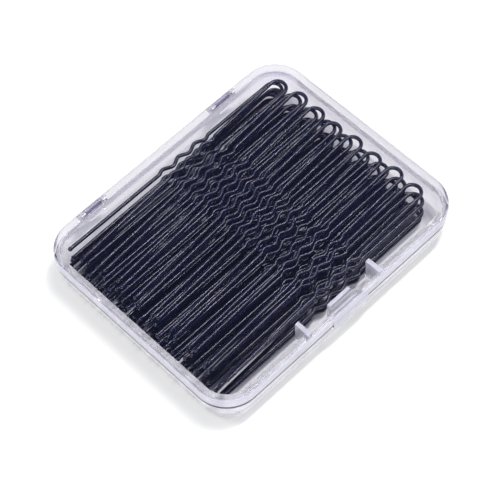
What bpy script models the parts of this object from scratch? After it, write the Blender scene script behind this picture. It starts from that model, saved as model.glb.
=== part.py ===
"""Clear hinged box filled with U-shaped hair pins.

Metres, +Z up. The origin is the middle of the box's underside. +X runs along the
pins towards their bends, +Y points to the hinge and -Y to the latch.
"""

import math

import bmesh
import bpy
from mathutils import Matrix

# Hair pins
PIN_LENGTH = 0.0700
PIN_WIDTH = 0.0044
WIRE_DIAMETER = 0.00095
TIP_DIAMETER = 0.00116
WAVE_HEIGHT = 0.00052
WAVE_PITCH = 0.0055
WAVE_COUNT = 3
WAVE_START_SHARE = 0.43

# Box outline and heights
BOX_WIDTH = 0.0643
CORNER_RADIUS = 0.0090
CORNER_STEPS = 6
EDGE_STEPS = 3
FILLET_STEPS = 2
TRAY_HEIGHT = 0.0068
PARTING_GAP = 0.0002
LID_HEIGHT = 0.0035

# Tray walls
TRAY_REVEAL = 0.0001
TRAY_TAPER = 0.0009
FOOT_RADIUS = 0.0010
FLOOR_THICKNESS = 0.0011
FLOOR_FILLET = 0.0008
LIP_THICKNESS = 0.0011
LIP_SIDE_CLEARANCE = 0.00025
LIP_TOP_CLEARANCE = 0.0003
LIP_CHAMFER = 0.0002

# Lid walls
LID_WALL = 0.0012
LID_TOP = 0.0011
LID_EDGE_RADIUS = 0.0005
LID_INNER_FILLET = 0.0004

# Latch at the front, a little off the middle
LATCH_OFFSET = 0.0006
LATCH_GAP_WIDTH = 0.0226
RIB_THICKNESS = 0.0012
RIB_REACH = 0.0060
TONGUE_WIDTH = 0.0070
TONGUE_THICKNESS = 0.0010
TONGUE_SETBACK = 0.0033
TONGUE_BEAD = 0.0003
TONGUE_BEAD_DROP = 0.0009
HOOK_BEAD = 0.00015
HOOK_CLEARANCE = 0.0003
HOOK_WALL = 0.0009
HOOK_BACK_WIDTH = 0.0076
TAB_WIDTH = 0.0116
TAB_DROP = 0.0006
TAB_PROUD = 0.0004
TAB_LIP_THICKNESS = 0.0006
TAB_SIDE_CLEARANCE = 0.0003
NAIL_RECESS_DEPTH = 0.0005
NAIL_RECESS_HEIGHT = 0.0014

# Hinge at the back
HINGE_SPACING = 0.0440
HINGE_OUTSET = 0.00105
HINGE_DROP = 0.0014
HINGE_BAR_RADIUS = 0.00045
HINGE_RUNNING_CLEARANCE = 0.00008
HINGE_SIDES = 16
CLIP_WIDTH = 0.0050
CLIP_RADIUS = 0.00095
CLIP_MOUTH = 0.0008
CLIP_MOUTH_DEGREES = -45
EAR_THICKNESS = 0.0013
EAR_RADIUS = 0.0009
EAR_RISE = 0.0020
EAR_END_DEGREES = 380
EAR_SIDE_CLEARANCE = 0.0003

# Pile of pins: clearances to the box, and how far single pins and whole layers are slid towards the tips
PILE_END_CLEARANCE = 0.0004
PILE_TIP_CLEARANCE = 0.0003
PILE_FRONT_SETBACK = 0.0093
PILE_BACK_SETBACK = 0.0064
PILE_FLOOR_CLEARANCE = 0.00015
PILE_TOP_CLEARANCE = 0.0003
PIN_STAGGER = 0.0008
STAGGER_STEP_SHARE = 0.618
LAYER_SLIDE = 0.0034

# Layers of the pile from the floor up: least gap between the tips of neighbouring pins, how far the first
# pin stands in from the pile's front and the last from its back, degrees that the front, middle and back
# pin are turned, and share of the slide
PILE_LAYERS = (
    (0.00036, 0.0002, 0.0009, (0.0, 0.0, 0.0), 0.65),
    (0.00180, 0.0006, 0.0009, (2.1, 1.3, 2.0), 0.9),
    (0.00034, 0.0000, 0.0002, (0.0, 0.2, 0.9), 0.55),
    (0.00050, 0.0012, 0.0008, (3.1, 3.4, 3.0), 1.0),
    (0.00090, 0.0010, 0.0013, (1.0, -0.4, 0.6), 0.6),
    (0.00038, 0.0006, 0.0003, (0.0, 0.3, 0.0), 0.25),
    (0.00050, 0.0000, 0.0010, (1.8, 3.3, 3.4), 0.0),
)

CUT_OVERRUN = 0.0010

# Sizes worked out from the ones above
LIP_OUTER_INSET = LID_WALL + LIP_SIDE_CLEARANCE
LIP_INNER_INSET = LIP_OUTER_INSET + LIP_THICKNESS
PILE_LENGTH = PILE_TIP_CLEARANCE + PIN_LENGTH + PIN_STAGGER + LAYER_SLIDE + PILE_END_CLEARANCE
BOX_LENGTH = PILE_LENGTH + 2 * LIP_INNER_INSET
BOX_HEIGHT = TRAY_HEIGHT + PARTING_GAP + LID_HEIGHT
LID_BOTTOM = TRAY_HEIGHT + PARTING_GAP
LID_UNDERSIDE = BOX_HEIGHT - LID_TOP
LIP_TOP = LID_UNDERSIDE - LIP_TOP_CLEARANCE
FRONT_FACE = -BOX_WIDTH / 2
BACK_FACE = BOX_WIDTH / 2
HINGE_Y = BACK_FACE + HINGE_OUTSET
HINGE_Z = TRAY_HEIGHT - HINGE_DROP
TONGUE_FRONT = FRONT_FACE + TONGUE_SETBACK
TONGUE_BACK = TONGUE_FRONT + TONGUE_THICKNESS
HOOK_BACK = TONGUE_FRONT - TONGUE_BEAD - HOOK_CLEARANCE
TAB_OUTER = FRONT_FACE - TAB_PROUD
WIRE_RADIUS = WIRE_DIAMETER / 2
TIP_RADIUS = TIP_DIAMETER / 2


def clear_scene():
    for thing in list(bpy.data.objects):
        bpy.data.objects.remove(thing, do_unlink=True)


def make_collection(name):
    collection = bpy.data.collections.new(name)
    bpy.context.scene.collection.children.link(collection)
    return collection


def make_material(name, colour, roughness, metallic, transmission):
    material = bpy.data.materials.new(name)
    material.use_nodes = True
    shader = material.node_tree.nodes["Principled BSDF"]
    shader.inputs["Base Color"].default_value = (*colour, 1.0)
    shader.inputs["Roughness"].default_value = roughness
    shader.inputs["Metallic"].default_value = metallic
    shader.inputs["Transmission Weight"].default_value = transmission
    material.diffuse_color = (*colour, 1.0)
    return material


def rounded_outline(inset):
    """Box outline drawn in by inset, anticlockwise from the +X side."""
    radius = CORNER_RADIUS - inset
    points = []
    for quarter, (side_x, side_y) in enumerate(((1, 1), (-1, 1), (-1, -1), (1, -1))):
        centre_x = side_x * (BOX_LENGTH / 2 - CORNER_RADIUS)
        centre_y = side_y * (BOX_WIDTH / 2 - CORNER_RADIUS)
        for step in range(CORNER_STEPS + 1):
            angle = math.radians(90) * (quarter + step / CORNER_STEPS)
            points.append((centre_x + radius * math.cos(angle), centre_y + radius * math.sin(angle)))
    return points


def finish_mesh(bm, name, collection, material):
    bmesh.ops.recalc_face_normals(bm, faces=bm.faces)
    mesh = bpy.data.meshes.new(name)
    bm.to_mesh(mesh)
    bm.free()
    thing = bpy.data.objects.new(name, mesh)
    collection.objects.link(thing)
    if material:
        mesh.materials.append(material)
    return thing


def shell_from_profile(name, profile, collection, material):
    """Extrudes the box outline along a profile of (inset, height) pairs and closes both ends."""
    bm = bmesh.new()
    inset, height = profile[0]
    ring = [bm.verts.new((x, y, height)) for x, y in rounded_outline(inset)]
    first_edges = [bm.edges.new((ring[i - 1], ring[i])) for i in range(len(ring))]
    edges = first_edges
    for inset, height in profile[1:]:
        pushed = bmesh.ops.extrude_edge_only(bm, edges=edges)["geom"]
        edges = [item for item in pushed if isinstance(item, bmesh.types.BMEdge)]
        place_of = {vert: index for index, vert in enumerate(ring)}
        outline = rounded_outline(inset)
        for vert in [item for item in pushed if isinstance(item, bmesh.types.BMVert)]:
            neighbours = [edge.other_vert(vert) for edge in vert.link_edges]
            index = next(place_of[other] for other in neighbours if other in place_of)
            vert.co = (*outline[index], height)
            ring[index] = vert
    bmesh.ops.contextual_create(bm, geom=first_edges)
    bmesh.ops.contextual_create(bm, geom=edges)
    return finish_mesh(bm, name, collection, material)


def prism(name, outline, start, depth, to_world, collection):
    """Flat outline pushed out by depth from start, turned into place by to_world."""
    bm = bmesh.new()
    face = bm.faces.new([bm.verts.new((u, v, start)) for u, v in outline])
    pushed = bmesh.ops.extrude_face_region(bm, geom=[face], use_keep_orig=True)["geom"]
    moved = [item for item in pushed if isinstance(item, bmesh.types.BMVert)]
    bmesh.ops.translate(bm, verts=moved, vec=(0, 0, depth))
    bmesh.ops.transform(bm, matrix=to_world, verts=bm.verts)
    return finish_mesh(bm, name, collection, None)


def side_prism(name, outline, start, depth, collection):
    """Outline in (y, z), pushed out along +X."""
    to_world = Matrix(((0, 0, 1, 0), (1, 0, 0, 0), (0, 1, 0, 0), (0, 0, 0, 1)))
    return prism(name, outline, start, depth, to_world, collection)


def plan_prism(name, outline, start, depth, collection):
    """Outline in (x, y), pushed out along +Z."""
    return prism(name, outline, start, depth, Matrix.Identity(4), collection)


def block(name, low, high, collection):
    """Box between two corners."""
    bm = bmesh.new()
    bmesh.ops.create_cube(bm, size=1)
    size = [b - a for a, b in zip(low, high)]
    middle = [(a + b) / 2 for a, b in zip(low, high)]
    bmesh.ops.scale(bm, vec=size, verts=bm.verts)
    bmesh.ops.translate(bm, vec=middle, verts=bm.verts)
    return finish_mesh(bm, name, collection, None)


def combine(target, tool, operation):
    """Adds a Boolean modifier and marks its tool as a guide."""
    modifier = target.modifiers.new(tool.name, "BOOLEAN")
    modifier.object = tool
    modifier.operation = operation
    modifier.solver = "EXACT"
    tool.hide_render = True
    tool.display_type = "WIRE"


def arc(centre, radius, start, end, steps):
    """Points of an arc in a flat outline, from start to end in degrees."""
    points = []
    for step in range(steps + 1):
        angle = math.radians(start + (end - start) * step / steps)
        points.append((centre[0] + radius * math.cos(angle), centre[1] + radius * math.sin(angle)))
    return points


def tray_profile():
    """Tray wall section: rounded foot, tapered wall, ledge, lip, inner wall and floor."""
    foot_centre = (TRAY_REVEAL + TRAY_TAPER + FOOT_RADIUS, FOOT_RADIUS)
    fillet_centre = (LIP_INNER_INSET + FLOOR_FILLET, FLOOR_THICKNESS + FLOOR_FILLET)
    profile = arc(foot_centre, FOOT_RADIUS, -90, -180, EDGE_STEPS)
    profile += [(TRAY_REVEAL, TRAY_HEIGHT), (LIP_OUTER_INSET, TRAY_HEIGHT)]
    profile += [(LIP_OUTER_INSET, LIP_TOP - LIP_CHAMFER), (LIP_OUTER_INSET + LIP_CHAMFER, LIP_TOP)]
    profile += [(LIP_INNER_INSET - LIP_CHAMFER, LIP_TOP), (LIP_INNER_INSET, LIP_TOP - LIP_CHAMFER)]
    profile += arc(fillet_centre, FLOOR_FILLET, 180, 270, FILLET_STEPS)
    return profile


def lid_profile():
    """Lid wall section: inside from the top down to the rim, then outside up to the rounded edge."""
    inner_centre = (LID_WALL + LID_INNER_FILLET, LID_UNDERSIDE - LID_INNER_FILLET)
    outer_centre = (LID_EDGE_RADIUS, BOX_HEIGHT - LID_EDGE_RADIUS)
    profile = arc(inner_centre, LID_INNER_FILLET, 90, 180, FILLET_STEPS)
    profile += [(LID_WALL, LID_BOTTOM), (0, LID_BOTTOM)]
    profile += arc(outer_centre, LID_EDGE_RADIUS, 180, 90, EDGE_STEPS)
    return profile


def make_tray(parts, cutters, material):
    """Tray with its standing lip, latch gap, ribs, tongue and hinge clips."""
    tray = shell_from_profile("tray_base", tray_profile(), parts, material)
    half_gap = LATCH_GAP_WIDTH / 2
    gap_low = (LATCH_OFFSET - half_gap, FRONT_FACE - CUT_OVERRUN, TRAY_HEIGHT)
    gap_high = (LATCH_OFFSET + half_gap, FRONT_FACE + LIP_INNER_INSET + CUT_OVERRUN, BOX_HEIGHT)
    combine(tray, block("latch_gap_cut", gap_low, gap_high, cutters), "DIFFERENCE")
    half_recess = TAB_WIDTH / 2 + TAB_SIDE_CLEARANCE
    nail_low = (LATCH_OFFSET - half_recess, FRONT_FACE - CUT_OVERRUN, TRAY_HEIGHT - NAIL_RECESS_HEIGHT)
    nail_high = (LATCH_OFFSET + half_recess, FRONT_FACE + NAIL_RECESS_DEPTH, TRAY_HEIGHT + CUT_OVERRUN)
    combine(tray, block("nail_recess_cut", nail_low, nail_high, cutters), "DIFFERENCE")
    for side, name in ((-1, "latch_rib_left"), (1, "latch_rib_right")):
        ends = sorted((LATCH_OFFSET + side * half_gap, LATCH_OFFSET + side * (half_gap + RIB_THICKNESS)))
        low = (ends[0], FRONT_FACE + LIP_OUTER_INSET + LIP_CHAMFER, FLOOR_THICKNESS / 2)
        high = (ends[1], FRONT_FACE + RIB_REACH, LIP_TOP)
        combine(tray, block(name, low, high, cutters), "UNION")
    combine(tray, make_tongue(cutters), "UNION")
    for side, name in ((-1, "hinge_clip_left"), (1, "hinge_clip_right")):
        combine(tray, make_clip(name, side * HINGE_SPACING / 2, cutters), "UNION")
    return tray


def make_tongue(cutters):
    """Springy tongue behind the tab, standing on the floor, with a bead near its top."""
    bead_height = LIP_TOP - TONGUE_BEAD_DROP
    outline = [(TONGUE_BACK, FLOOR_THICKNESS / 2), (TONGUE_BACK, LIP_TOP), (TONGUE_FRONT, LIP_TOP)]
    outline += [(TONGUE_FRONT, bead_height + TONGUE_BEAD), (TONGUE_FRONT - TONGUE_BEAD, bead_height)]
    outline += [(TONGUE_FRONT, bead_height - TONGUE_BEAD), (TONGUE_FRONT, FLOOR_THICKNESS / 2)]
    return side_prism("latch_tongue", outline, LATCH_OFFSET - TONGUE_WIDTH / 2, TONGUE_WIDTH, cutters)


def make_clip(name, middle, cutters):
    """C-shaped clip on the back wall, open below, that the lid's hinge bar snaps into."""
    centre = (HINGE_Y, HINGE_Z)
    bore = HINGE_BAR_RADIUS + HINGE_RUNNING_CLEARANCE
    inner_half = math.degrees(math.asin(CLIP_MOUTH / 2 / bore))
    outer_half = math.degrees(math.asin(CLIP_MOUTH / 2 / CLIP_RADIUS))
    mouth = CLIP_MOUTH_DEGREES
    root = BACK_FACE - LIP_OUTER_INSET
    outline = arc(centre, CLIP_RADIUS, 90, mouth + outer_half, HINGE_SIDES // 3)
    outline += arc(centre, bore, mouth + inner_half, mouth + 360 - inner_half, HINGE_SIDES)
    outline += arc(centre, CLIP_RADIUS, mouth - outer_half, -90, FILLET_STEPS)
    outline += [(root, HINGE_Z - CLIP_RADIUS), (root, HINGE_Z + CLIP_RADIUS)]
    return side_prism(name, outline, middle - CLIP_WIDTH / 2, CLIP_WIDTH, cutters)


def make_lid(parts, cutters, material):
    """Lid with its thumb tab, hook block, hinge ears and hinge bars."""
    lid = shell_from_profile("lid_cover", lid_profile(), parts, material)
    combine(lid, make_tab_lip(cutters), "UNION")
    combine(lid, make_hook_block(cutters), "UNION")
    combine(lid, make_hook_hollow(cutters), "DIFFERENCE")
    combine(lid, make_hook_bead(cutters), "UNION")
    ear_start = CLIP_WIDTH / 2 + EAR_SIDE_CLEARANCE
    bar_reach = ear_start + EAR_THICKNESS / 2
    bar_outline = arc((HINGE_Y, HINGE_Z), HINGE_BAR_RADIUS, 0, 360, HINGE_SIDES)[:-1]
    for side, name in ((-1, "hinge_left"), (1, "hinge_right")):
        middle = side * HINGE_SPACING / 2
        combine(lid, make_ear(name + "_inner_ear", middle - ear_start - EAR_THICKNESS, cutters), "UNION")
        combine(lid, make_ear(name + "_outer_ear", middle + ear_start, cutters), "UNION")
        bar = side_prism(name + "_bar", bar_outline, middle - bar_reach, 2 * bar_reach, cutters)
        combine(lid, bar, "UNION")
    return lid


def make_tab_lip(cutters):
    """Thumb tab: the front wall leans out and its lip hangs below the parting line."""
    lip_inner = TAB_OUTER + TAB_LIP_THICKNESS
    tab_bottom = TRAY_HEIGHT - TAB_DROP
    outline = [(FRONT_FACE + LID_WALL / 2, LID_BOTTOM), (lip_inner, LID_BOTTOM), (lip_inner, tab_bottom)]
    outline += [(TAB_OUTER, tab_bottom), (TAB_OUTER, LID_BOTTOM)]
    outline += [(FRONT_FACE, LID_UNDERSIDE), (FRONT_FACE + LID_WALL / 2, LID_UNDERSIDE)]
    return side_prism("tab_lip", outline, LATCH_OFFSET - TAB_WIDTH / 2, TAB_WIDTH, cutters)


def make_hook_block(cutters):
    """Block under the lid's top, narrow behind and wide in front."""
    half_back = HOOK_BACK_WIDTH / 2
    half_front = TAB_WIDTH / 2
    wall_middle = FRONT_FACE + LID_WALL / 2
    outline = [(LATCH_OFFSET - half_front, wall_middle), (LATCH_OFFSET + half_front, wall_middle)]
    outline += [(LATCH_OFFSET + half_front, FRONT_FACE + LID_WALL)]
    outline += [(LATCH_OFFSET + half_back, HOOK_BACK), (LATCH_OFFSET - half_back, HOOK_BACK)]
    outline += [(LATCH_OFFSET - half_front, FRONT_FACE + LID_WALL)]
    top = LID_UNDERSIDE + LID_TOP / 2
    return plan_prism("hook_block", outline, LID_BOTTOM, top - LID_BOTTOM, cutters)


def make_hook_hollow(cutters):
    """Space inside the hook block, open below."""
    half_back = HOOK_BACK_WIDTH / 2 - HOOK_WALL
    half_front = TAB_WIDTH / 2 - HOOK_WALL
    front = FRONT_FACE + LID_WALL
    back = HOOK_BACK - HOOK_WALL
    outline = [(LATCH_OFFSET - half_front, front), (LATCH_OFFSET + half_front, front)]
    outline += [(LATCH_OFFSET + half_back, back), (LATCH_OFFSET - half_back, back)]
    bottom = LID_BOTTOM - CUT_OVERRUN
    return plan_prism("hook_hollow_cut", outline, bottom, LID_UNDERSIDE - HOOK_WALL - bottom, cutters)


def make_hook_bead(cutters):
    """Low bead across the back of the hook block that snaps in under the tongue's bead."""
    root = HOOK_BACK - HOOK_WALL / 2
    outline = [(root, LID_BOTTOM), (HOOK_BACK, LID_BOTTOM), (HOOK_BACK + HOOK_BEAD, LID_BOTTOM + HOOK_BEAD)]
    outline += [(HOOK_BACK, LID_BOTTOM + 2 * HOOK_BEAD), (root, LID_BOTTOM + 2 * HOOK_BEAD)]
    half = HOOK_BACK_WIDTH / 2 - HOOK_WALL
    return side_prism("hook_bead", outline, LATCH_OFFSET - half, 2 * half, cutters)


def make_ear(name, start, cutters):
    """Ear on the lid's back wall that carries one end of a hinge bar."""
    root = BACK_FACE - LID_WALL / 2
    outline = [(root, LID_BOTTOM + EAR_RISE), (root, LID_BOTTOM), (HINGE_Y - EAR_RADIUS, LID_BOTTOM)]
    outline += arc((HINGE_Y, HINGE_Z), EAR_RADIUS, 180, EAR_END_DEGREES, HINGE_SIDES // 2)
    return side_prism(name, outline, start, EAR_THICKNESS, cutters)


def wave_offsets(samples):
    """Distance along the leg and sideways offset of each bend in the waved stretch."""
    start = WAVE_START_SHARE * PIN_LENGTH
    first = math.pi / samples
    points = [(start, 0)]
    for index in range(WAVE_COUNT * samples):
        phase = first + 2 * math.pi * index / samples
        along = start + WAVE_PITCH * phase / (2 * math.pi)
        points.append((along, WAVE_HEIGHT * math.sin(phase) / math.sin(first)))
    points.append((start + WAVE_COUNT * WAVE_PITCH, 0))
    return points


def pin_path(wave_samples, bend_steps, tip_angles):
    """Centre line of a pin with its thickness: tip, leg, round bend, leg, tip."""
    tip = []
    for degrees in tip_angles:
        angle = math.radians(degrees)
        tip.append((TIP_RADIUS * (1 - math.cos(angle)), TIP_RADIUS * math.sin(angle)))
    tip.append((TIP_RADIUS + math.sqrt(TIP_RADIUS**2 - WIRE_RADIUS**2), WIRE_RADIUS))
    half = PIN_WIDTH / 2
    bend_centre = (PIN_LENGTH - WIRE_RADIUS - half, 0)
    waves = wave_offsets(wave_samples)
    leg_out = [(along, half, thickness) for along, thickness in tip]
    leg_out += [(along, half + offset, WIRE_RADIUS) for along, offset in waves]
    leg_back = [(along, offset - half, WIRE_RADIUS) for along, offset in reversed(waves)]
    leg_back += [(along, -half, thickness) for along, thickness in reversed(tip)]
    bend = [(x, y, WIRE_RADIUS) for x, y in arc(bend_centre, half, 90, -90, bend_steps)]
    return leg_out + bend + leg_back


def make_pin_curve(name, path, material):
    """Wire curve of unit thickness, thickened point by point."""
    curve = bpy.data.curves.new(name, "CURVE")
    curve.dimensions = "3D"
    curve.bevel_depth = WIRE_RADIUS
    curve.bevel_resolution = 0
    curve.use_fill_caps = True
    spline = curve.splines.new("POLY")
    spline.points.add(len(path) - 1)
    for point, (x, y, thickness) in zip(spline.points, path):
        point.co = (x, y, 0, 1)
        point.radius = thickness / WIRE_RADIUS
    curve.materials.append(material)
    return curve


def corner_reach(y, room):
    """How far past the corner's centre a round end at this Y can go, with its middle within room of it."""
    over = max(0, abs(y) - (BOX_WIDTH / 2 - CORNER_RADIUS))
    return BOX_LENGTH / 2 - CORNER_RADIUS + math.sqrt(room**2 - min(over, room) ** 2)


def bend_limit(middle):
    """Furthest X of a pin's bend inside the box, for a bend with its middle at this Y."""
    half = PIN_WIDTH / 2
    room = CORNER_RADIUS - LIP_INNER_INSET - PILE_END_CLEARANCE - WIRE_RADIUS
    reaches = [corner_reach(y, room) - x for x, y in arc((0, abs(middle)), half, 0, 90, FILLET_STEPS)]
    return min(reaches) + half + WIRE_RADIUS


def tip_limit(middle):
    """Lowest X of a pin's tips inside the box, for tips either side of this Y."""
    room = CORNER_RADIUS - LIP_INNER_INSET - PILE_TIP_CLEARANCE - TIP_RADIUS
    return -corner_reach(abs(middle) + PIN_WIDTH / 2, room) - TIP_RADIUS


def between(values, share):
    """Value at a share of the way along front, middle and back values."""
    front, middle, back = values
    if share < 0.5:
        return front + (middle - front) * 2 * share
    return middle + (back - middle) * (2 * share - 1)


def make_pile(parts, material):
    """Layers of pins, tips to -X and bends to +X. Each pin turns a little about its tips."""
    coarse = make_pin_curve("pin_wire", pin_path(2, 4, (30, 90)), material)
    fine = make_pin_curve("top_pin_wire", pin_path(4, 6, (25, 60, 100)), material)
    lowest = FLOOR_THICKNESS + PILE_FLOOR_CLEARANCE + TIP_RADIUS
    highest = LID_UNDERSIDE - PILE_TOP_CLEARANCE - TIP_RADIUS
    last_layer = len(PILE_LAYERS) - 1
    serial = 0
    for layer, (tip_gap, front_shift, back_shift, yaws, slide_share) in enumerate(PILE_LAYERS):
        height = lowest + (highest - lowest) * layer / last_layer
        swing = PIN_LENGTH * max(0, math.sin(math.radians(yaws[-1])))
        first = FRONT_FACE + PILE_FRONT_SETBACK + front_shift
        room = BACK_FACE - PILE_BACK_SETBACK - back_shift - swing - first
        intervals = int(room / (PIN_WIDTH + TIP_DIAMETER + tip_gap))
        for index in range(intervals + 1):
            serial += 1
            yaw = math.radians(between(yaws, index / intervals))
            tip_y = first + room * index / intervals
            length = PIN_LENGTH * math.cos(yaw)
            layer_end = BOX_LENGTH / 2 - LIP_INNER_INSET - PILE_END_CLEARANCE - LAYER_SLIDE * slide_share
            bend_end = min(layer_end, bend_limit(tip_y + PIN_LENGTH * math.sin(yaw)))
            bend_end -= PIN_STAGGER * (serial * STAGGER_STEP_SHARE % 1)
            pin = bpy.data.objects.new(f"hair_pin_{serial:02d}", fine if layer == last_layer else coarse)
            pin.location = (max(bend_end - length, tip_limit(tip_y)), tip_y, height)
            pin.rotation_euler = (0, 0, yaw)
            parts.objects.link(pin)


def main():
    clear_scene()
    parts = make_collection("hair_pin_box")
    cutters = make_collection("cutters")
    clear_plastic = make_material("clear_plastic", (0.88, 0.87, 0.93), 0.12, 0.0, 0.9)
    black_wire = make_material("black_wire", (0.02, 0.02, 0.035), 0.35, 0.0, 0.0)
    make_tray(parts, cutters, clear_plastic)
    make_lid(parts, cutters, clear_plastic)
    make_pile(parts, black_wire)


main()
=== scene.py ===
import math

import bmesh
import bpy
import numpy as np
from mathutils import Matrix, Vector


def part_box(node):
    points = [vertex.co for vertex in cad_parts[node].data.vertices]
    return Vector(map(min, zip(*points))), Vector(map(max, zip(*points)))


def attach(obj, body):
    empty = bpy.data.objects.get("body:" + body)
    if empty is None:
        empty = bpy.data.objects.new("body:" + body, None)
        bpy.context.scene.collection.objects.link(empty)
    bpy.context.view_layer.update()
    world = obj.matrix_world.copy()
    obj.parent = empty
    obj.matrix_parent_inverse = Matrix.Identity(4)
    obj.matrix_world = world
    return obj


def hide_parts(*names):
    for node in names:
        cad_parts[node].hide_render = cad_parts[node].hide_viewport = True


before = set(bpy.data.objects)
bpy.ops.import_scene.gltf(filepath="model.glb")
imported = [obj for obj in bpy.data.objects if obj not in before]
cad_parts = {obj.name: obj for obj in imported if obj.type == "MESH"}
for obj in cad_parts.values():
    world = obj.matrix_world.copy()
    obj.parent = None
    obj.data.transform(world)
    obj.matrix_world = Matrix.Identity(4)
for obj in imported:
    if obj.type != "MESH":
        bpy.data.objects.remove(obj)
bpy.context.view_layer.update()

print("frame loaded:", len(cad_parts), "nodes")

clearBody = bpy.data.collections.new("clear_box")
pinPile = bpy.data.collections.new("pin_pile")
studio = bpy.data.collections.new("studio")
for group in (clearBody, pinPile, studio):
    bpy.context.scene.collection.children.link(group)


# shared shape helpers

def meshFromGrid(name, grid, group):
    # grid is (rows, columns, 3): columns close round on themselves, rows run along the path.
    # Quads join each row to the next, and one flat face closes each end row.
    rows, columns = grid.shape[:2]
    index = np.arange(rows * columns).reshape(rows, columns)
    ahead = np.roll(index, -1, axis=1)
    quads = np.stack([index[:-1], ahead[:-1], ahead[1:], index[1:]], axis=-1).reshape(-1, 4)
    faces = quads.tolist() + [index[0, ::-1].tolist(), index[-1].tolist()]
    mesh = bpy.data.meshes.new(name)
    mesh.from_pydata(grid.reshape(-1, 3), [], faces)
    bm = bmesh.new()
    bm.from_mesh(mesh)
    bmesh.ops.recalc_face_normals(bm, faces=bm.faces)
    bm.to_mesh(mesh)
    bm.free()
    piece = bpy.data.objects.new(name, mesh)
    group.objects.link(piece)
    return piece


def smoothByAngle(piece, degrees):
    mesh = piece.data
    mesh.polygons.foreach_set("use_smooth", np.ones(len(mesh.polygons), bool))
    mesh.set_sharp_from_angle(angle=math.radians(degrees))


def applyModifiers(piece):
    evaluated = piece.evaluated_get(bpy.context.evaluated_depsgraph_get())
    finished = bpy.data.meshes.new_from_object(evaluated)
    old = piece.data
    piece.modifiers.clear()
    piece.data = finished
    bpy.data.meshes.remove(old)


def arcPoints(centre, radius, start, end, steps):
    # points on a circle: centre plus radius times (cos, sin) of angles evenly spread from start to end
    angle = np.radians(np.linspace(start, end, steps + 1))
    return np.stack([centre[0] + radius * np.cos(angle), centre[1] + radius * np.sin(angle)], axis=1)


def softCorners(corners, steps=3):
    # Each corner is (u, v, radius). A corner with a radius becomes a curve that starts and ends one
    # radius away on its two sides and bends through the corner: (1-t)^2 a + 2t(1-t) corner + t^2 b.
    places = np.array([c[:2] for c in corners], float)
    radii = np.array([c[2] for c in corners], float)
    before = places - np.roll(places, 1, axis=0)
    after = np.roll(places, -1, axis=0) - places
    before /= np.linalg.norm(before, axis=1, keepdims=True)
    after /= np.linalg.norm(after, axis=1, keepdims=True)
    t = np.linspace(0, 1, steps + 1)[None, :, None]
    a = (places - before * radii[:, None])[:, None]
    b = (places + after * radii[:, None])[:, None]
    curved = (1 - t) ** 2 * a + 2 * t * (1 - t) * places[:, None] + t**2 * b
    return [curved[i] if radii[i] > 0 else places[i : i + 1] for i in range(len(corners))]


# clear box: tray and lid

box = {
    "length": 0.0800, "width": 0.0643, "cornerRadius": 0.0090, "cornerSteps": 18,
    "trayHeight": 0.0068, "partingGap": 0.0002, "lidHeight": 0.0035,
    "reveal": 0.0001, "taper": 0.0009, "foot": 0.0010, "footSteps": 6,
    "floor": 0.0011, "floorFillet": 0.0008, "floorFilletSteps": 5,
    "lip": 0.0011, "lipSideGap": 0.00025, "lipTopGap": 0.0003, "lipRound": 0.00022,
    "lidWall": 0.0012, "lidTop": 0.0011, "lidRound": 0.0005, "lidRoundSteps": 6,
    "lidFillet": 0.0004, "lidFilletSteps": 4, "edgeBreak": 0.00012, "bevelSteps": 2,
    "sharpAngle": 40, "smoothAngle": 35, "cutOver": 0.001,
}
box["height"] = box["trayHeight"] + box["partingGap"] + box["lidHeight"]
box["lidBottom"] = box["trayHeight"] + box["partingGap"]
box["lidUnderside"] = box["height"] - box["lidTop"]
box["lipOuter"] = box["lidWall"] + box["lipSideGap"]
box["lipInner"] = box["lipOuter"] + box["lip"]
box["lipTop"] = box["lidUnderside"] - box["lipTopGap"]
box["front"] = -box["width"] / 2
box["back"] = box["width"] / 2

latch = {
    "offset": 0.0006, "gap": 0.0226, "rib": 0.0012, "ribReach": 0.0060,
    "tongueWidth": 0.0070, "tongue": 0.0010, "tongueSetback": 0.0033,
    "tongueBead": 0.0003, "beadDrop": 0.0009,
    "hookBead": 0.00015, "hookGap": 0.0003, "hookWall": 0.0009, "hookBack": 0.0076,
    "tabWidth": 0.0116, "tabDrop": 0.0006, "tabProud": 0.0004, "tabLip": 0.0006, "tabSide": 0.0003,
    "nailDepth": 0.0005, "nailHeight": 0.0014, "edgeBreak": 0.00010,
}
latch["tongueFront"] = box["front"] + latch["tongueSetback"]
latch["tongueBack"] = latch["tongueFront"] + latch["tongue"]
latch["hookBackFace"] = latch["tongueFront"] - latch["tongueBead"] - latch["hookGap"]

hinge = {
    "spacing": 0.0440, "behindWall": 0.00105, "belowRim": 0.0014,
    "bar": 0.00045, "play": 0.00008, "sides": 40, "mouth": 0.0008, "mouthAngle": -45,
    "clipWidth": 0.0050, "clip": 0.00095, "clipSteps": 12, "rootSteps": 5,
    "ear": 0.0013, "earRadius": 0.0009, "earRise": 0.0020, "earEnd": 380, "earSteps": 24,
    "earGap": 0.0003,
}
hinge["y"] = box["back"] + hinge["behindWall"]
hinge["z"] = box["trayHeight"] - hinge["belowRim"]


def boxOutline(inset):
    # Rounded rectangle drawn in by inset: four corner centres, each with a quarter circle of radius
    # cornerRadius - inset. Returns (columns, 2), anticlockwise.
    radius = box["cornerRadius"] - inset
    centres = np.array([(1, 1), (-1, 1), (-1, -1), (1, -1)]) * (
        box["length"] / 2 - box["cornerRadius"], box["width"] / 2 - box["cornerRadius"])
    quarter = np.linspace(0, 1, box["cornerSteps"] + 1)
    angle = np.radians(90 * (np.arange(4)[:, None] + quarter[None, :]))
    x = centres[:, :1] + radius * np.cos(angle)
    y = centres[:, 1:] + radius * np.sin(angle)
    return np.stack([x.ravel(), y.ravel()], axis=1)


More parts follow.
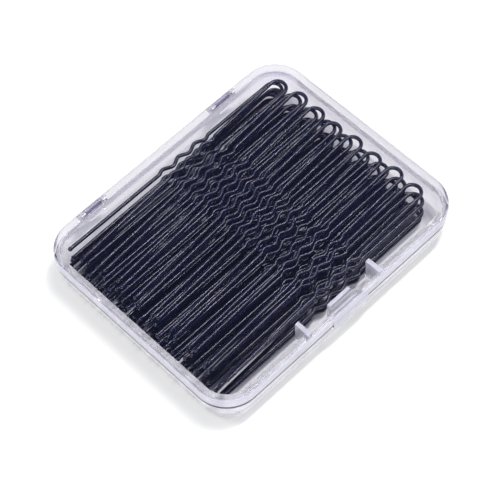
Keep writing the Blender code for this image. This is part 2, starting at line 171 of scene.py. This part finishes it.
def shellFromProfile(name, profile):
    # One row for each (inset, height) of the profile: the box outline drawn in by inset at that height.
    rows = [np.column_stack([boxOutline(inset), np.full(4 * (box["cornerSteps"] + 1), height)])
            for inset, height in profile]
    return meshFromGrid(name, np.array(rows), clearBody)


def pushedOutline(name, outline, start, depth, plane):
    # Two copies of a flat outline, depth apart: "yz" outlines are pushed along X, "xy" ones along Z.
    outline = np.asarray(outline, float)
    ends = np.full((2, len(outline)), start) + np.array([[0], [depth]])
    u, v = np.tile(outline[:, 0], (2, 1)), np.tile(outline[:, 1], (2, 1))
    columns = (ends, u, v) if plane == "yz" else (u, v, ends)
    return meshFromGrid(name, np.stack(columns, axis=-1), clearBody)


def breakEdges(piece, width):
    bevel = piece.modifiers.new("edge break", "BEVEL")
    bevel.width = width
    bevel.segments = box["bevelSteps"]
    bevel.limit_method = "ANGLE"
    bevel.angle_limit = math.radians(box["sharpAngle"])
    applyModifiers(piece)
    return piece


def merge(target, tools, operation):
    for tool in tools:
        cut = target.modifiers.new(tool.name, "BOOLEAN")
        cut.object = tool
        cut.operation = operation
        cut.solver = "EXACT"
    applyModifiers(target)
    for tool in tools:
        bpy.data.objects.remove(tool, do_unlink=True)


def trayProfile():
    edge, soft = box["edgeBreak"], box["lipRound"]
    footCentre = (box["reveal"] + box["taper"] + box["foot"], box["foot"])
    filletCentre = (box["lipInner"] + box["floorFillet"], box["floor"] + box["floorFillet"])
    foot = arcPoints(footCentre, box["foot"], -90, -180, box["footSteps"])
    middle = softCorners([
        (footCentre[0] - box["foot"], box["foot"], 0), (box["reveal"], box["trayHeight"], edge),
        (box["lipOuter"], box["trayHeight"], edge), (box["lipOuter"], box["lipTop"], soft),
        (box["lipInner"], box["lipTop"], soft), (box["lipInner"], filletCentre[1], 0)])
    fillet = arcPoints(filletCentre, box["floorFillet"], 180, 270, box["floorFilletSteps"])
    return np.concatenate([foot] + middle[1:-1] + [fillet])


def lidProfile():
    edge = box["edgeBreak"]
    innerCentre = (box["lidWall"] + box["lidFillet"], box["lidUnderside"] - box["lidFillet"])
    outerCentre = (box["lidRound"], box["height"] - box["lidRound"])
    inner = arcPoints(innerCentre, box["lidFillet"], 90, 180, box["lidFilletSteps"])
    rim = softCorners([
        (box["lidWall"], innerCentre[1], 0), (box["lidWall"], box["lidBottom"], edge),
        (0, box["lidBottom"], edge), (0, outerCentre[1], 0)])
    outer = arcPoints(outerCentre, box["lidRound"], 180, 90, box["lidRoundSteps"])
    return np.concatenate([inner] + rim[1:-1] + [outer])


def makeTray():
    tray = shellFromProfile("clearTray", trayProfile())
    middle, halfGap, over = latch["offset"], latch["gap"] / 2, box["cutOver"]
    gapFront, gapBack = box["front"] - over, box["front"] + box["lipInner"] + over
    gapOutline = [(gapFront, box["trayHeight"]), (gapBack, box["trayHeight"]),
                  (gapBack, box["height"]), (gapFront, box["height"])]
    gapCut = pushedOutline("gapCut", gapOutline, middle - halfGap, 2 * halfGap, "yz")
    halfNail = latch["tabWidth"] / 2 + latch["tabSide"]
    nailBack, nailLow = box["front"] + latch["nailDepth"], box["trayHeight"] - latch["nailHeight"]
    nailOutline = [(gapFront, nailLow), (nailBack, nailLow + latch["nailDepth"] / 2),
                   (nailBack, box["trayHeight"] + over), (gapFront, box["trayHeight"] + over)]
    nailCut = pushedOutline("nailCut", nailOutline, middle - halfNail, 2 * halfNail, "yz")
    merge(tray, [gapCut, nailCut], "DIFFERENCE")
    additions = []
    ribFront = box["front"] + box["lipOuter"] + box["lipRound"]
    ribBack = box["front"] + latch["ribReach"]
    ribOutline = [(ribFront, box["floor"] / 2), (ribBack, box["floor"] / 2),
                  (ribBack, box["lipTop"]), (ribFront, box["lipTop"])]
    for name, start in (("ribLeft", middle - halfGap - latch["rib"]), ("ribRight", middle + halfGap)):
        rib = pushedOutline(name, ribOutline, start, latch["rib"], "yz")
        additions.append(breakEdges(rib, latch["edgeBreak"]))
    bead = box["lipTop"] - latch["beadDrop"]
    front, back = latch["tongueFront"], latch["tongueBack"]
    tongueOutline = [(back, box["floor"] / 2), (back, box["lipTop"]), (front, box["lipTop"]),
                     (front, bead + latch["tongueBead"]), (front - latch["tongueBead"], bead),
                     (front, bead - latch["tongueBead"]), (front, box["floor"] / 2)]
    tongueWidth = latch["tongueWidth"]
    tongue = pushedOutline("tongue", tongueOutline, middle - tongueWidth / 2, tongueWidth, "yz")
    additions.append(breakEdges(tongue, latch["edgeBreak"]))
    for name, side in (("clipLeft", -1), ("clipRight", 1)):
        additions.append(makeClip(name, side * hinge["spacing"] / 2))
    merge(tray, additions, "UNION")
    return tray


def makeClip(name, middle):
    # C-shaped outline round the hinge line: outer arc, bore arc back again, then the root in the wall.
    bore = hinge["bar"] + hinge["play"]
    innerHalf = math.degrees(math.asin(hinge["mouth"] / 2 / bore))
    outerHalf = math.degrees(math.asin(hinge["mouth"] / 2 / hinge["clip"]))
    centre, mouth = (hinge["y"], hinge["z"]), hinge["mouthAngle"]
    root = box["back"] - box["lipOuter"]
    outline = np.concatenate([
        arcPoints(centre, hinge["clip"], 90, mouth + outerHalf, hinge["clipSteps"]),
        arcPoints(centre, bore, mouth + innerHalf, mouth + 360 - innerHalf, hinge["sides"]),
        arcPoints(centre, hinge["clip"], mouth - outerHalf, -90, hinge["rootSteps"]),
        [(root, hinge["z"] - hinge["clip"]), (root, hinge["z"] + hinge["clip"])]])
    return pushedOutline(name, outline, middle - hinge["clipWidth"] / 2, hinge["clipWidth"], "yz")


def makeEar(name, start):
    root, bottom = box["back"] - box["lidWall"] / 2, box["lidBottom"]
    centre, radius = (hinge["y"], hinge["z"]), hinge["earRadius"]
    outline = np.concatenate([
        [(root, bottom + hinge["earRise"]), (root, bottom), (hinge["y"] - radius, bottom)],
        arcPoints(centre, radius, 180, hinge["earEnd"], hinge["earSteps"])])
    return pushedOutline(name, outline, start, hinge["ear"], "yz")


def makeLid():
    lid = shellFromProfile("clearLid", lidProfile())
    middle, wallMiddle = latch["offset"], box["front"] + box["lidWall"] / 2
    bottom, underside, tabWidth = box["lidBottom"], box["lidUnderside"], latch["tabWidth"]
    outer = box["front"] - latch["tabProud"]
    lipInner, tabLow = outer + latch["tabLip"], box["trayHeight"] - latch["tabDrop"]
    tabOutline = [(wallMiddle, bottom), (lipInner, bottom), (lipInner, tabLow), (outer, tabLow),
                  (outer, bottom), (box["front"], underside), (wallMiddle, underside)]
    tab = pushedOutline("tabLip", tabOutline, middle - tabWidth / 2, tabWidth, "yz")
    breakEdges(tab, latch["edgeBreak"])
    halfBack, halfFront = latch["hookBack"] / 2, tabWidth / 2
    innerFace, backFace = box["front"] + box["lidWall"], latch["hookBackFace"]
    hookOutline = [(middle - halfFront, wallMiddle), (middle + halfFront, wallMiddle),
                   (middle + halfFront, innerFace), (middle + halfBack, backFace),
                   (middle - halfBack, backFace), (middle - halfFront, innerFace)]
    hookTop = underside + box["lidTop"] / 2
    hook = pushedOutline("hookBlock", hookOutline, bottom, hookTop - bottom, "xy")
    merge(lid, [tab, hook], "UNION")
    wall, low = latch["hookWall"], bottom - box["cutOver"]
    hollowOutline = [(middle - halfFront + wall, innerFace), (middle + halfFront - wall, innerFace),
                     (middle + halfBack - wall, backFace - wall),
                     (middle - halfBack + wall, backFace - wall)]
    hollow = pushedOutline("hookHollow", hollowOutline, low, underside - wall - low, "xy")
    merge(lid, [hollow], "DIFFERENCE")
    root, step, halfBead = backFace - wall / 2, latch["hookBead"], halfBack - wall
    beadOutline = [(root, bottom), (backFace, bottom), (backFace + step, bottom + step),
                   (backFace, bottom + 2 * step), (root, bottom + 2 * step)]
    bead = pushedOutline("hookBead", beadOutline, middle - halfBead, 2 * halfBead, "yz")
    additions = [bead]
    earStart = hinge["clipWidth"] / 2 + hinge["earGap"]
    barReach = earStart + hinge["ear"] / 2
    barOutline = arcPoints((hinge["y"], hinge["z"]), hinge["bar"], 0, 360, hinge["sides"])[:-1]
    for name, side in (("Left", -1), ("Right", 1)):
        at = side * hinge["spacing"] / 2
        additions.append(makeEar("earInner" + name, at - earStart - hinge["ear"]))
        additions.append(makeEar("earOuter" + name, at + earStart))
        additions.append(pushedOutline("bar" + name, barOutline, at - barReach, 2 * barReach, "yz"))
    merge(lid, additions, "UNION")
    return lid


# hair pins

pinWire = {
    "length": 0.0700, "width": 0.0044, "wire": 0.00095, "tip": 0.00116,
    "waveHeight": 0.00052, "wavePitch": 0.0055, "waveCount": 3, "waveStartShare": 0.43,
    "waveEdge": 0.02, "waveSpread": 0.05, "sides": 14, "legStep": 0.0015, "waveSteps": 14,
    "bendSteps": 22, "tipSteps": 9, "tipStart": 10, "neckLength": 0.0004, "tipZone": 1.3,
    "smoothAngle": 60,
}


def legLine(random):
    # Along one leg: distance from the tip, sideways offset, and radius of the wire.
    # The tip is a ball. At angle a round it, the distance is R (1 - cos a) and the radius R sin a, up to
    # where it runs out into the wire. The waved stretch is height (sin p - edge sin 3p) / (1 + edge), a
    # wave with slightly straightened flanks.
    ball, wire, step = pinWire["tip"] / 2, pinWire["wire"] / 2, pinWire["legStep"]
    neck = ball + math.sqrt(ball**2 - wire**2)
    tipEnd = 180 - math.degrees(math.asin(wire / ball))
    angle = np.radians(np.linspace(pinWire["tipStart"], tipEnd, pinWire["tipSteps"]))
    tip = ball * (1 - np.cos(angle))
    start = pinWire["waveStartShare"] * pinWire["length"]
    straight = np.arange(neck + pinWire["neckLength"], start, step)
    steps, edge = pinWire["waveSteps"] * pinWire["waveCount"], pinWire["waveEdge"]
    phase = np.linspace(0, 2 * math.pi * pinWire["waveCount"], steps + 1)
    height = pinWire["waveHeight"] * (1 + pinWire["waveSpread"] * random.uniform(-1, 1))
    waves = height * (np.sin(phase) - edge * np.sin(3 * phase)) / (1 + edge)
    waved = start + pinWire["wavePitch"] * phase / (2 * math.pi)
    bendStart = pinWire["length"] - pinWire["width"] / 2 - wire
    rest = np.arange(waved[-1] + step, bendStart - step / 2, step)
    fromTip = np.concatenate([tip, straight, waved, rest])
    offset = np.concatenate([np.zeros(len(tip) + len(straight)), waves, np.zeros(len(rest))])
    radius = np.concatenate([ball * np.sin(angle), np.full(len(fromTip) - len(tip), wire)])
    return fromTip, offset, radius


def wireLine(random):
    # The wire's line lies flat: out along one leg, half a circle round the bend, back along the other.
    half, wire = pinWire["width"] / 2, pinWire["wire"] / 2
    fromTip, offset, legRadius = legLine(random)
    angle = np.radians(np.linspace(90, -90, pinWire["bendSteps"] + 1))
    bendX = pinWire["length"] - wire - half + half * np.cos(angle)
    x = np.concatenate([fromTip, bendX, fromTip[::-1]])
    y = np.concatenate([half + offset, half * np.sin(angle), offset[::-1] - half])
    radius = np.concatenate([legRadius, np.full(len(bendX), wire), legRadius[::-1]])
    return x, y, radius


def pinPlace(node):
    # The solid of the same pin gives the outermost point of the bend, and the turn of the line to it
    # from the middle between the tips.
    points = np.array([v.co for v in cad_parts[node].data.vertices])
    low, high = points.min(0), points.max(0)
    tipY = points[points[:, 0] < low[0] + pinWire["tipZone"] * pinWire["tip"], 1].mean()
    apexY = points[points[:, 0] > high[0] - pinWire["wire"] / 2, 1].mean()
    yaw = math.atan2(apexY - tipY, high[0] - low[0])
    return (high[0], apexY, (low[2] + high[2]) / 2), yaw


def makePin(name, node, seed):
    # Each point of the wire's line carries a circle of the wire's radius across it.
    x, y, radius = wireLine(np.random.default_rng(seed))
    apex, yaw = pinPlace(node)
    back = pinWire["length"] - x
    line = np.stack([apex[0] - back * math.cos(yaw) - y * math.sin(yaw),
                     apex[1] - back * math.sin(yaw) + y * math.cos(yaw),
                     np.full(len(x), apex[2])], axis=1)
    along = np.gradient(line, axis=0)
    along /= np.linalg.norm(along, axis=1, keepdims=True)
    up = np.array([0.0, 0.0, 1.0])
    side = np.cross(up, along)
    turn = np.linspace(0, 2 * math.pi, pinWire["sides"], endpoint=False)
    ring = np.cos(turn)[None, :, None] * side[:, None] + np.sin(turn)[None, :, None] * up
    pin = meshFromGrid(name, line[:, None] + radius[:, None, None] * ring, pinPile)
    smoothByAngle(pin, pinWire["smoothAngle"])
    return pin


# materials

def newMaterial(name):
    material = bpy.data.materials.new(name)
    material.use_nodes = True
    return material, material.node_tree, material.node_tree.nodes["Principled BSDF"]


def plug(tree, value, socket):
    # a number or colour is set on the socket, and another node's output is linked to it
    if isinstance(value, bpy.types.NodeSocket):
        tree.links.new(value, socket)
    else:
        socket.default_value = value


def calculate(tree, operation, *values):
    step = tree.nodes.new("ShaderNodeMath")
    step.operation = operation
    for value, socket in zip(values, step.inputs):
        plug(tree, value, socket)
    return step.outputs[0]


def product(tree, result, *others):
    for other in others:
        result = calculate(tree, "MULTIPLY", result, other)
    return result


def distance(tree, first, second):
    # square root of the sum of two squares
    squares = [product(tree, side, side) for side in (first, second)]
    return calculate(tree, "SQRT", calculate(tree, "ADD", *squares))


def apart(tree, value, middle, half=0.0):
    # how far a value lies from a middle one, less a half width, so it is below zero within that width
    gap = calculate(tree, "ABSOLUTE", calculate(tree, "SUBTRACT", value, middle))
    return calculate(tree, "SUBTRACT", gap, half)


def spread(tree, value, source, result):
    # smooth step from one pair of values to another
    step = tree.nodes.new("ShaderNodeMapRange")
    step.interpolation_type = "SMOOTHSTEP"
    for name, number in zip(("From Min", "From Max", "To Min", "To Max"), (*source, *result)):
        plug(tree, number, step.inputs[name])
    plug(tree, value, step.inputs["Value"])
    return step.outputs["Result"]


def blendTones(tree, share, first, second):
    # The tones are colours or outputs of other nodes. A mix node keeps its colour sockets at 6 and 7,
    # and its colour result at 2.
    mix = tree.nodes.new("ShaderNodeMix")
    mix.data_type = "RGBA"
    plug(tree, share, mix.inputs[0])
    for tone, socket in ((first, mix.inputs[6]), (second, mix.inputs[7])):
        plug(tree, tone if isinstance(tone, bpy.types.NodeSocket) else (*tone, 1), socket)
    return mix.outputs[2]


def noise(tree, place, scale, detail=2.0):
    texture = tree.nodes.new("ShaderNodeTexNoise")
    texture.inputs["Scale"].default_value = scale
    texture.inputs["Detail"].default_value = detail
    tree.links.new(place, texture.inputs["Vector"])
    return texture.outputs["Fac"]


def emboss(tree, shader, height, strength, depth):
    bump = tree.nodes.new("ShaderNodeBump")
    bump.inputs["Strength"].default_value = strength
    bump.inputs["Distance"].default_value = depth
    tree.links.new(height, bump.inputs["Height"])
    tree.links.new(bump.outputs["Normal"], shader.inputs["Normal"])


def axes(tree, vector):
    parts = tree.nodes.new("ShaderNodeSeparateXYZ")
    tree.links.new(vector, parts.inputs["Vector"])
    return parts.outputs["X"], parts.outputs["Y"], parts.outputs["Z"]


# Lengths are in metres. A pair is the start and the end of a soft edge, or the least and the most.
plasticLook = {
    "colour": (0.955, 0.947, 0.98), "ior": 1.05, "roughness": 0.01,
    "coat": 1.0, "coatRoughness": 0.06, "coatIor": 1.42,
    "skinColour": (0.76, 0.745, 0.83), "skinDepth": (-0.0009, -0.0005), "skinMilk": 0.60,
    "flatSlope": (0.80, 0.98), "wallTint": (0.42, 0.42, 0.43), "flatTint": (0.97, 0.97, 0.985),
    "hazeScale": 900.0, "haze": (0.92, 1.06),
    "flowScale": 60.0, "flowDetail": 1.0, "flowStrength": 0.05, "flowDepth": 0.0004,
    "latchReach": (0.0125, 0.0129), "latchBack": (0.0, 0.001), "latchFoot": (0.002, 0.003),
    "latchStart": (0.0027, 0.0014), "latchEdge": 0.0001,
    # the near-black colour below is painted shade: a fine line where the gap between lid and tray falls
    # dark
    "seamShadeColour": (0.005, 0.005, 0.01), "seamHeight": 0.0070, "seamEdge": (0.0005, 0.0006),
    "seamProud": (0.0001, 0.0002),
}
enamelLook = {
    "colour": (0.003, 0.004, 0.020), "shade": 0.75, "tint": 1.3,
    "specular": 0.6, "roughness": (0.24, 0.34), "patchScale": 500.0,
    "grainScale": 2600.0, "grainStrength": 0.04, "grainDepth": 0.00002,
}


def wallReach(tree, x, y):
    # Each axis counts only what lies beyond the corner centres, and the two make one distance. So it is
    # the corner radius on the box's outline, and less by the depth inside it.
    radius = box["cornerRadius"]
    beyond = [calculate(tree, "MAXIMUM", apart(tree, along, 0.0, size / 2 - radius), 0.0)
              for along, size in ((x, box["length"]), (y, box["width"]))]
    return distance(tree, *beyond)


def latchMask(tree, x, y, z):
    # 1 in the parts of the latch. They begin behind the lid's wall, and lower down behind the tray's.
    edge, ribEnd = plasticLook["latchEdge"], box["front"] + latch["ribReach"]
    wallFace = spread(tree, z, (box["trayHeight"], box["lidBottom"]),
                      [box["front"] + start for start in plasticLook["latchStart"]])
    limits = (
        spread(tree, apart(tree, x, latch["offset"]), plasticLook["latchReach"], (1, 0)),
        spread(tree, y, [ribEnd + past for past in plasticLook["latchBack"]], (1, 0)),
        spread(tree, calculate(tree, "SUBTRACT", y, wallFace), (0, edge), (0, 1)),
        spread(tree, z, plasticLook["latchFoot"], (0, 1)),
        spread(tree, z, (box["lipTop"] + edge, box["lidUnderside"] - edge), (1, 0)),
    )
    return product(tree, *limits)


def makeClearPlastic():
    # Moulded clear plastic with a cool tint, polished under a thin coat. The outside of the walls, the
    # skin, and the parts of the latch are milky, a little mottled. A fine dark line of painted shade on
    # the skin stands for the dark gap between lid and tray. Lamps shine straight through, less so
    # through walls, so that what is inside and below is lit evenly.
    material, tree, shader = newMaterial("clear_plastic")
    where = tree.nodes.new("ShaderNodeTexCoord")
    x, y, z = axes(tree, where.outputs["Object"])
    # flat goes from 0 on upright faces to 1 on level ones
    normalZ = axes(tree, where.outputs["Normal"])[2]
    flat = spread(tree, calculate(tree, "ABSOLUTE", normalZ), plasticLook["flatSlope"], (0, 1))
    upright = calculate(tree, "SUBTRACT", 1.0, flat)
    backFace = tree.nodes.new("ShaderNodeNewGeometry").outputs["Backfacing"]
    outside = calculate(tree, "SUBTRACT", 1.0, backFace)
    reach = wallReach(tree, x, y)
    radius = box["cornerRadius"]
    skin = spread(tree, reach, [radius + depth for depth in plasticLook["skinDepth"]], (0, 1))
    milky = product(tree, skin, upright, outside)
    mottle = noise(tree, where.outputs["Object"], plasticLook["hazeScale"])
    haze = spread(tree, mottle, (0, 1), plasticLook["haze"])
    anyMilk = calculate(tree, "MAXIMUM", milky, latchMask(tree, x, y, z))
    milk = product(tree, anyMilk, haze, plasticLook["skinMilk"])
    tree.links.new(calculate(tree, "SUBTRACT", 1.0, milk), shader.inputs["Transmission Weight"])
    # more roughness makes bright specks, as the low refraction gathers rough light into a narrow beam
    tree.links.new(product(tree, plasticLook["roughness"], haze), shader.inputs["Roughness"])
    # the painted shade line of the joint keeps to the walls, and off the thumb tab that stands proud of
    # them
    fromSeam = apart(tree, z, plasticLook["seamHeight"])
    seamReach = [radius + proud for proud in plasticLook["seamProud"]]
    seamShade = product(tree, spread(tree, fromSeam, plasticLook["seamEdge"], (1, 0)), milky,
                   spread(tree, reach, seamReach, (1, 0)))
    tone = blendTones(tree, skin, plasticLook["colour"], plasticLook["skinColour"])
    tone = blendTones(tree, seamShade, tone, plasticLook["seamShadeColour"])
    tree.links.new(tone, shader.inputs["Base Color"])
    for socket, key in (("IOR", "ior"), ("Coat Weight", "coat"), ("Coat Roughness", "coatRoughness"),
                        ("Coat IOR", "coatIor")):
        shader.inputs[socket].default_value = plasticLook[key]
    flow = noise(tree, where.outputs["Object"], plasticLook["flowScale"], plasticLook["flowDetail"])
    emboss(tree, shader, flow, plasticLook["flowStrength"], plasticLook["flowDepth"])
    through = tree.nodes.new("ShaderNodeBsdfTransparent")
    lampTint = blendTones(tree, flat, plasticLook["wallTint"], plasticLook["flatTint"])
    tree.links.new(lampTint, through.inputs["Color"])
    path = tree.nodes.new("ShaderNodeLightPath")
    shown = shader.outputs["BSDF"]
    for ray in ("Is Diffuse Ray", "Is Shadow Ray"):
        either = tree.nodes.new("ShaderNodeMixShader")
        tree.links.new(path.outputs[ray], either.inputs["Fac"])
        tree.links.new(shown, either.inputs[1])
        tree.links.new(through.outputs["BSDF"], either.inputs[2])
        shown = either.outputs["Shader"]
    tree.links.new(shown, tree.nodes["Material Output"].inputs["Surface"])
    return material


def makeEnamel():
    # Baked lacquer on wire: near black with a blue cast, glossy, duller in patches, very finely grained.
    material, tree, shader = newMaterial("black_wire")
    shader.inputs["Specular IOR Level"].default_value = enamelLook["specular"]
    where = tree.nodes.new("ShaderNodeTexCoord").outputs["Object"]
    patches = noise(tree, where, enamelLook["patchScale"])
    roughness = spread(tree, patches, (0, 1), enamelLook["roughness"])
    tree.links.new(roughness, shader.inputs["Roughness"])
    colour = np.array(enamelLook["colour"])
    tone = blendTones(tree, patches, enamelLook["shade"] * colour, enamelLook["tint"] * colour)
    tree.links.new(tone, shader.inputs["Base Color"])
    grain = noise(tree, where, enamelLook["grainScale"])
    emboss(tree, shader, grain, enamelLook["grainStrength"], enamelLook["grainDepth"])
    return material


# studio: floor, light and camera

photoCamera = {
    "azimuth": -41.107, "elevation": 58.839, "roll": -4.248, "distance": 0.48945,
    "target": (0.002527, 0.004159, -0.0095), "focalPixels": 1967.8, "photoWidth": 500,
    "sensor": 36.0, "near": 0.01, "far": 20,
}
lampAim = Vector((0, 0, 0.005))
lampPlan = {
    "overhead": {"place": (0.215, -0.03, 0.60), "size": (0.26, 0.05), "power": 2.9},
    "rear": {"place": (-0.25, 0.28, 0.60), "size": (0.16, 0.10), "power": 1.1},
    "front": {"place": (-0.55, -0.40, 0.30), "size": (0.35, 0.25), "power": 2.2},
}
# the floor's own glow fades out below the pile as a painted shadow
floorLook = {
    "half": 3.0, "below": 0.00004, "colour": (0.90, 0.895, 0.81), "roughness": 0.9,
    "own": 0.24, "pileShadowFade": (-0.003, 0.0), "far": 0.8, "farFade": (0.15, 0.6),
}
worldLook = {"horizon": (0.90, 0.91, 0.97), "above": (0.085, 0.093, 0.21), "full": 0.6}


def placeCamera():
    # Back points from the target to the camera; right and up are turned about it by the roll.
    azimuth, elevation, roll = (math.radians(photoCamera[k]) for k in ("azimuth", "elevation", "roll"))
    level, rise = math.cos(elevation), math.sin(elevation)
    back = Vector((math.sin(azimuth) * level, -math.cos(azimuth) * level, rise))
    right = Vector((0, 0, 1)).cross(back).normalized()
    up = back.cross(right)
    turnedRight = math.cos(roll) * right + math.sin(roll) * up
    turnedUp = math.cos(roll) * up - math.sin(roll) * right
    lens = bpy.data.cameras.new("camera")
    lens.sensor_width = photoCamera["sensor"]
    lens.lens = photoCamera["sensor"] * photoCamera["focalPixels"] / photoCamera["photoWidth"]
    lens.clip_start, lens.clip_end = photoCamera["near"], photoCamera["far"]
    camera = bpy.data.objects.new("camera", lens)
    place = Vector(photoCamera["target"]) + back * photoCamera["distance"]
    turned = Matrix((turnedRight, turnedUp, back)).transposed().to_4x4()
    camera.matrix_world = Matrix.Translation(place) @ turned
    studio.objects.link(camera)
    bpy.context.scene.camera = camera


def placeLamps():
    # Each lamp faces the box, with its first side turned along the pins as far as that allows.
    along = Vector((1, 0, 0))
    for name, plan in lampPlan.items():
        lamp = bpy.data.lights.new(name, "AREA")
        lamp.shape = "RECTANGLE"
        lamp.size, lamp.size_y = plan["size"]
        lamp.energy = plan["power"]
        holder = bpy.data.objects.new(name, lamp)
        place = Vector(plan["place"])
        facing = (place - lampAim).normalized()
        side = (along - along.dot(facing) * facing).normalized()
        turned = Matrix((side, facing.cross(side), facing)).transposed().to_4x4()
        holder.matrix_world = Matrix.Translation(place) @ turned
        # its light comes through the plastic as shadow rays, so rays that the plastic bends must miss it
        holder.visible_transmission = False
        lamp.cycles.use_multiple_importance_sampling = False
        studio.objects.link(holder)


def placeFloor():
    half, level = floorLook["half"], -floorLook["below"]
    mesh = bpy.data.meshes.new("floor")
    corners = [(-half, -half, level), (half, -half, level), (half, half, level), (-half, half, level)]
    mesh.from_pydata(corners, [], [(0, 1, 2, 3)])
    floor = bpy.data.objects.new("floor", mesh)
    studio.objects.link(floor)
    material, tree, shader = newMaterial("paper_floor")
    shader.inputs["Base Color"].default_value = (*floorLook["colour"], 1)
    shader.inputs["Roughness"].default_value = floorLook["roughness"]
    shader.inputs["Specular IOR Level"].default_value = 0.0
    x, y, _ = axes(tree, tree.nodes.new("ShaderNodeTexCoord").outputs["Object"])
    pileCorners = np.array([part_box(node) for node in pinNodes])
    low, high = pileCorners[:, 0].min(0), pileCorners[:, 1].max(0)
    # Distance outside the pile's rectangle, negative inside it. Painted shadow: the floor's own glow
    # fades out below the pins, as light hardly gets there.
    outside = [apart(tree, along, float(low[i] + high[i]) / 2, float(high[i] - low[i]) / 2)
               for i, along in enumerate((x, y))]
    fromPile = calculate(tree, "MAXIMUM", *outside)
    nearGlow = spread(tree, fromPile, floorLook["pileShadowFade"], (0, floorLook["own"]))
    # the lamps' light falls off far from the box, and the floor's own glow makes up for it
    farGlow = spread(tree, distance(tree, x, y), floorLook["farFade"], (0, floorLook["far"]))
    path = tree.nodes.new("ShaderNodeLightPath")
    seen = calculate(tree, "MAXIMUM", path.outputs["Is Camera Ray"], path.outputs["Is Glossy Ray"])
    seen = calculate(tree, "MAXIMUM", seen, path.outputs["Is Transmission Ray"])
    own = product(tree, seen, calculate(tree, "ADD", nearGlow, farGlow))
    shader.inputs["Emission Color"].default_value = (1, 1, 1, 1)
    tree.links.new(own, shader.inputs["Emission Strength"])
    mesh.materials.append(material)


def placeWorld():
    world = bpy.data.worlds.new("studio")
    world.use_nodes = True
    tree = world.node_tree
    height = axes(tree, tree.nodes.new("ShaderNodeTexCoord").outputs["Generated"])[2]
    share = spread(tree, height, (0, worldLook["full"]), (0, 1))
    tone = blendTones(tree, share, worldLook["horizon"], worldLook["above"])
    # plain white behind the box
    seen = tree.nodes.new("ShaderNodeLightPath").outputs["Is Camera Ray"]
    tone = blendTones(tree, seen, tone, (1, 1, 1))
    tree.links.new(tone, tree.nodes["Background"].inputs["Color"])
    bpy.context.scene.world = world


# the scene

pinNodes = sorted(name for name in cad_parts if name.startswith("hair_pin_"))
placeCamera()
placeLamps()
placeFloor()
placeWorld()
bpy.context.scene.view_settings.view_transform = "Standard"
print("studio ready")

clearPlastic = makeClearPlastic()
enamel = makeEnamel()

for maker, node, body in ((makeTray, "tray_base", "tray"), (makeLid, "lid_cover", "lid")):
    piece = maker()
    piece.data.materials.clear()
    piece.data.materials.append(clearPlastic)
    smoothByAngle(piece, box["smoothAngle"])
    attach(piece, body)
    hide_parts(node)
    print(piece.name, "made:", len(piece.data.polygons), "faces")

for seed, node in enumerate(pinNodes):
    pin = makePin("pin." + node[-2:], node, seed)
    pin.data.materials.append(enamel)
    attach(pin, "tray")
    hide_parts(node)
print("pins laid:", len(pinNodes))
